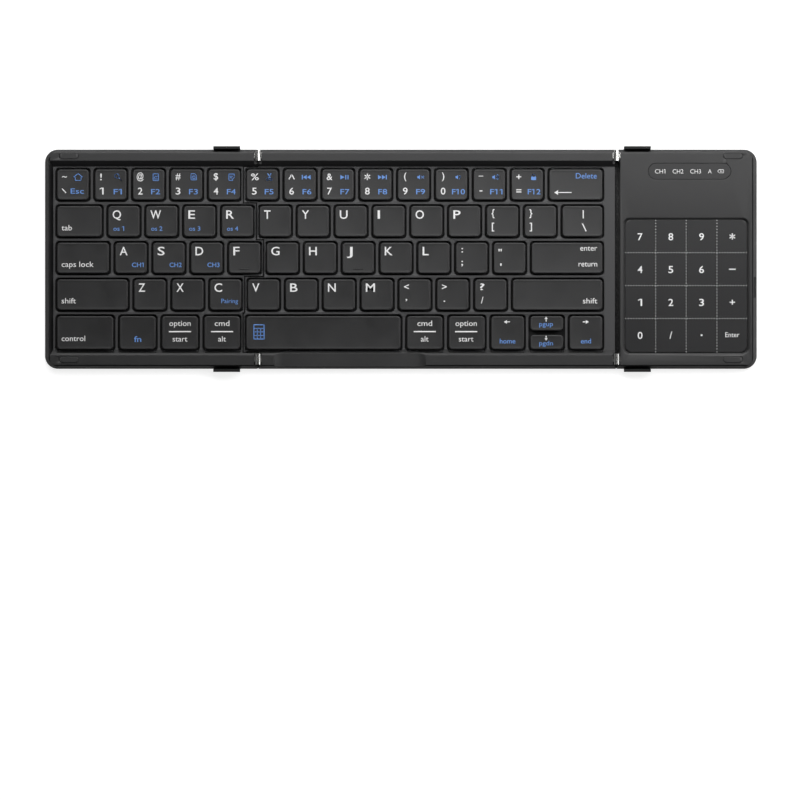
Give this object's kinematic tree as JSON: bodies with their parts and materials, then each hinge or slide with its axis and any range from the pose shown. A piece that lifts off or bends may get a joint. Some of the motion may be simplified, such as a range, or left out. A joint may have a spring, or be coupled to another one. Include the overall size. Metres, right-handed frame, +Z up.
{
  "type": "folding keyboard",
  "caption": "Slim folding keyboard in three hinged sections with low key caps, a touchpad wing, folding spines and a sliding leather back.",
  "frame": {"origin": "under the middle of the open keyboard, on the surface it lies on", "axes": "+X to the typist's right along the length, +Y to the rear, +Z up out of the keys"},
  "size_m": [0.32, 0.1014, 0.0094],
  "materials": {
    "abs_grey": "fine satin moulded texture",
    "abs_under": "fine matt moulded texture",
    "plate_steel": "rolled sheet",
    "contact_film": "printed polyester film",
    "dome_rubber": "translucent silicone",
    "key_abs": "fine satin moulded texture with printed legends",
    "hinge_steel": "polished",
    "back_leather": "pebbled artificial leather",
    "spine_abs": "fine matt moulded texture",
    "cover_board": "pressed fibre board",
    "touchpad_film": "fine matt film with dotted grid",
    "window_tint": "smoked gloss",
    "circuit_board": "solder resist",
    "cell_foil": "laminated pouch foil",
    "socket_steel": "stamped shell",
    "switch_abs": "ribbed nub",
    "bumper_rubber": "matt",
    "magnet_nickel": "nickel plated",
    "flex_film": "polyimide film"
  },
  "bodies": {
    "centre": {"centre_top_shell": "abs_grey", "centre_bottom_shell": "abs_under", "centre_key_plate": "plate_steel", "centre_contact_film": "contact_film", "centre_domes": "dome_rubber", "centre_hinge_leaves": "hinge_steel", "hinge_pins": "hinge_steel", "centre_leather": "back_leather", "centre_magnets": "magnet_nickel", "flex_cables": "flex_film"},
    "left_wing": {"left_top_shell": "abs_grey", "left_bottom_shell": "abs_under", "left_key_plate": "plate_steel", "left_contact_film": "contact_film", "left_domes": "dome_rubber", "left_hinge_leaves": "hinge_steel", "left_bumpers": "bumper_rubber", "left_magnets": "magnet_nickel"},
    "right_wing": {"right_top_shell": "abs_grey", "right_bottom_shell": "abs_under", "right_hinge_leaves": "hinge_steel", "touchpad": "touchpad_film", "indicator_window": "window_tint", "main_board": "circuit_board", "battery": "cell_foil", "charging_socket": "socket_steel", "right_bumpers": "bumper_rubber", "right_magnets": "magnet_nickel"},
    "left_spine": {"left_spine_plate": "spine_abs", "left_spine_leather": "back_leather"},
    "right_spine": {"right_spine_plate": "spine_abs", "right_spine_leather": "back_leather"},
    "left_cover": {"left_cover_board": "cover_board", "left_cover_leather": "back_leather"},
    "right_cover": {"right_cover_board": "cover_board", "right_cover_leather": "back_leather"},
    "switch_slider": {"power_switch": "switch_abs"},
    "key_grave_body": {"key_grave": "key_abs"},
    "keys_one_to_four_body": {"keys_one_to_four": "key_abs"},
    "key_tab_body": {"key_tab": "key_abs"},
    "keys_q_to_r_body": {"keys_q_to_r": "key_abs"},
    "key_caps_lock_body": {"key_caps_lock": "key_abs"},
    "keys_a_to_f_body": {"keys_a_to_f": "key_abs"},
    "key_shift_left_body": {"key_shift_left": "key_abs"},
    "keys_z_to_c_body": {"keys_z_to_c": "key_abs"},
    "keys_left_modifiers_body": {"keys_left_modifiers": "key_abs"},
    "keys_five_to_equals_body": {"keys_five_to_equals": "key_abs"},
    "key_backspace_body": {"key_backspace": "key_abs"},
    "keys_t_to_bracket_body": {"keys_t_to_bracket": "key_abs"},
    "key_backslash_body": {"key_backslash": "key_abs"},
    "keys_g_to_quote_body": {"keys_g_to_quote": "key_abs"},
    "key_enter_body": {"key_enter": "key_abs"},
    "keys_v_to_slash_body": {"keys_v_to_slash": "key_abs"},
    "key_shift_right_body": {"key_shift_right": "key_abs"},
    "key_space_body": {"key_space": "key_abs"},
    "keys_right_modifiers_body": {"keys_right_modifiers": "key_abs"},
    "key_arrow_left_body": {"key_arrow_left": "key_abs"},
    "key_arrow_up_body": {"key_arrow_up": "key_abs"},
    "key_arrow_down_body": {"key_arrow_down": "key_abs"},
    "key_arrow_right_body": {"key_arrow_right": "key_abs"}
  },
  "joints": [
    {"name": "left_wing_hinge", "type": "hinge", "parent": "centre", "child": "left_wing", "pos_m": [-0.0642, 0, 0.00815], "axis": [0, 1, 0], "range_deg": [0, 180]},
    {"name": "right_wing_hinge", "type": "hinge", "parent": "centre", "child": "right_wing", "pos_m": [0.0968, 0, 0.00815], "axis": [0, -1, 0], "range_deg": [0, 180]},
    {"name": "left_spine_fold", "type": "hinge", "parent": "centre", "child": "left_spine", "pos_m": [-0.07118, 0, 0.00108], "axis": [0, 1, 0], "range_deg": [0, 90]},
    {"name": "right_spine_fold", "type": "hinge", "parent": "centre", "child": "right_spine", "pos_m": [0.0992, 0, 0.0011], "axis": [0, -1, 0], "range_deg": [0, 90]},
    {"name": "left_cover_slide", "type": "slide", "parent": "left_wing", "child": "left_cover", "axis": [1, 0, 0], "range_m": [0, 0.0296]},
    {"name": "right_cover_slide", "type": "slide", "parent": "right_wing", "child": "right_cover", "axis": [-1, 0, 0], "range_m": [0, 0.02045]},
    {"name": "power_switch_slide", "type": "slide", "parent": "right_wing", "child": "switch_slider", "axis": [0, -1, 0], "range_m": [0, 0.002]},
    {"name": "key_grave_press", "type": "slide", "parent": "left_wing", "child": "key_grave_body", "axis": [0, 0, -1], "range_m": [0, 0.0015], "stiffness_N_per_m": 300, "springref_m": -0.0006, "deforming": ["left_domes"]},
    {"name": "keys_one_to_four_press", "type": "slide", "parent": "left_wing", "child": "keys_one_to_four_body", "axis": [0, 0, -1], "range_m": [0, 0.0015], "stiffness_N_per_m": 300, "springref_m": -0.0006, "deforming": ["left_domes"]},
    {"name": "key_tab_press", "type": "slide", "parent": "left_wing", "child": "key_tab_body", "axis": [0, 0, -1], "range_m": [0, 0.0015], "stiffness_N_per_m": 300, "springref_m": -0.0006, "deforming": ["left_domes"]},
    {"name": "keys_q_to_r_press", "type": "slide", "parent": "left_wing", "child": "keys_q_to_r_body", "axis": [0, 0, -1], "range_m": [0, 0.0015], "stiffness_N_per_m": 300, "springref_m": -0.0006, "deforming": ["left_domes"]},
    {"name": "key_caps_lock_press", "type": "slide", "parent": "left_wing", "child": "key_caps_lock_body", "axis": [0, 0, -1], "range_m": [0, 0.0015], "stiffness_N_per_m": 300, "springref_m": -0.0006, "deforming": ["left_domes"]},
    {"name": "keys_a_to_f_press", "type": "slide", "parent": "left_wing", "child": "keys_a_to_f_body", "axis": [0, 0, -1], "range_m": [0, 0.0015], "stiffness_N_per_m": 300, "springref_m": -0.0006, "deforming": ["left_domes"]},
    {"name": "key_shift_left_press", "type": "slide", "parent": "left_wing", "child": "key_shift_left_body", "axis": [0, 0, -1], "range_m": [0, 0.0015], "stiffness_N_per_m": 300, "springref_m": -0.0006, "deforming": ["left_domes"]},
    {"name": "keys_z_to_c_press", "type": "slide", "parent": "left_wing", "child": "keys_z_to_c_body", "axis": [0, 0, -1], "range_m": [0, 0.0015], "stiffness_N_per_m": 300, "springref_m": -0.0006, "deforming": ["left_domes"]},
    {"name": "keys_left_modifiers_press", "type": "slide", "parent": "left_wing", "child": "keys_left_modifiers_body", "axis": [0, 0, -1], "range_m": [0, 0.0015], "stiffness_N_per_m": 300, "springref_m": -0.0006, "deforming": ["left_domes"]},
    {"name": "keys_five_to_equals_press", "type": "slide", "parent": "centre", "child": "keys_five_to_equals_body", "axis": [0, 0, -1], "range_m": [0, 0.0015], "stiffness_N_per_m": 300, "springref_m": -0.0006, "deforming": ["centre_domes"]},
    {"name": "key_backspace_press", "type": "slide", "parent": "centre", "child": "key_backspace_body", "axis": [0, 0, -1], "range_m": [0, 0.0015], "stiffness_N_per_m": 300, "springref_m": -0.0006, "deforming": ["centre_domes"]},
    {"name": "keys_t_to_bracket_press", "type": "slide", "parent": "centre", "child": "keys_t_to_bracket_body", "axis": [0, 0, -1], "range_m": [0, 0.0015], "stiffness_N_per_m": 300, "springref_m": -0.0006, "deforming": ["centre_domes"]},
    {"name": "key_backslash_press", "type": "slide", "parent": "centre", "child": "key_backslash_body", "axis": [0, 0, -1], "range_m": [0, 0.0015], "stiffness_N_per_m": 300, "springref_m": -0.0006, "deforming": ["centre_domes"]},
    {"name": "keys_g_to_quote_press", "type": "slide", "parent": "centre", "child": "keys_g_to_quote_body", "axis": [0, 0, -1], "range_m": [0, 0.0015], "stiffness_N_per_m": 300, "springref_m": -0.0006, "deforming": ["centre_domes"]},
    {"name": "key_enter_press", "type": "slide", "parent": "centre", "child": "key_enter_body", "axis": [0, 0, -1], "range_m": [0, 0.0015], "stiffness_N_per_m": 300, "springref_m": -0.0006, "deforming": ["centre_domes"]},
    {"name": "keys_v_to_slash_press", "type": "slide", "parent": "centre", "child": "keys_v_to_slash_body", "axis": [0, 0, -1], "range_m": [0, 0.0015], "stiffness_N_per_m": 300, "springref_m": -0.0006, "deforming": ["centre_domes"]},
    {"name": "key_shift_right_press", "type": "slide", "parent": "centre", "child": "key_shift_right_body", "axis": [0, 0, -1], "range_m": [0, 0.0015], "stiffness_N_per_m": 300, "springref_m": -0.0006, "deforming": ["centre_domes"]},
    {"name": "key_space_press", "type": "slide", "parent": "centre", "child": "key_space_body", "axis": [0, 0, -1], "range_m": [0, 0.0015], "stiffness_N_per_m": 300, "springref_m": -0.0006, "deforming": ["centre_domes"]},
    {"name": "keys_right_modifiers_press", "type": "slide", "parent": "centre", "child": "keys_right_modifiers_body", "axis": [0, 0, -1], "range_m": [0, 0.0015], "stiffness_N_per_m": 300, "springref_m": -0.0006, "deforming": ["centre_domes"]},
    {"name": "key_arrow_left_press", "type": "slide", "parent": "centre", "child": "key_arrow_left_body", "axis": [0, 0, -1], "range_m": [0, 0.0015], "stiffness_N_per_m": 300, "springref_m": -0.0006, "deforming": ["centre_domes"]},
    {"name": "key_arrow_up_press", "type": "slide", "parent": "centre", "child": "key_arrow_up_body", "axis": [0, 0, -1], "range_m": [0, 0.0015], "stiffness_N_per_m": 300, "springref_m": -0.0006, "deforming": ["centre_domes"]},
    {"name": "key_arrow_down_press", "type": "slide", "parent": "centre", "child": "key_arrow_down_body", "axis": [0, 0, -1], "range_m": [0, 0.0015], "stiffness_N_per_m": 300, "springref_m": -0.0006, "deforming": ["centre_domes"]},
    {"name": "key_arrow_right_press", "type": "slide", "parent": "centre", "child": "key_arrow_right_body", "axis": [0, 0, -1], "range_m": [0, 0.0015], "stiffness_N_per_m": 300, "springref_m": -0.0006, "deforming": ["centre_domes"]}
  ],
  "couplings": [
    {"joint": "left_spine_fold", "follows": "left_wing_hinge", "ratio": 0.5},
    {"joint": "right_spine_fold", "follows": "right_wing_hinge", "ratio": 0.5},
    {"joint": "left_cover_slide", "follows": "left_wing_hinge", "m_per_rad": 0.0094219},
    {"joint": "right_cover_slide", "follows": "right_wing_hinge", "m_per_rad": 0.0065094}
  ]
}
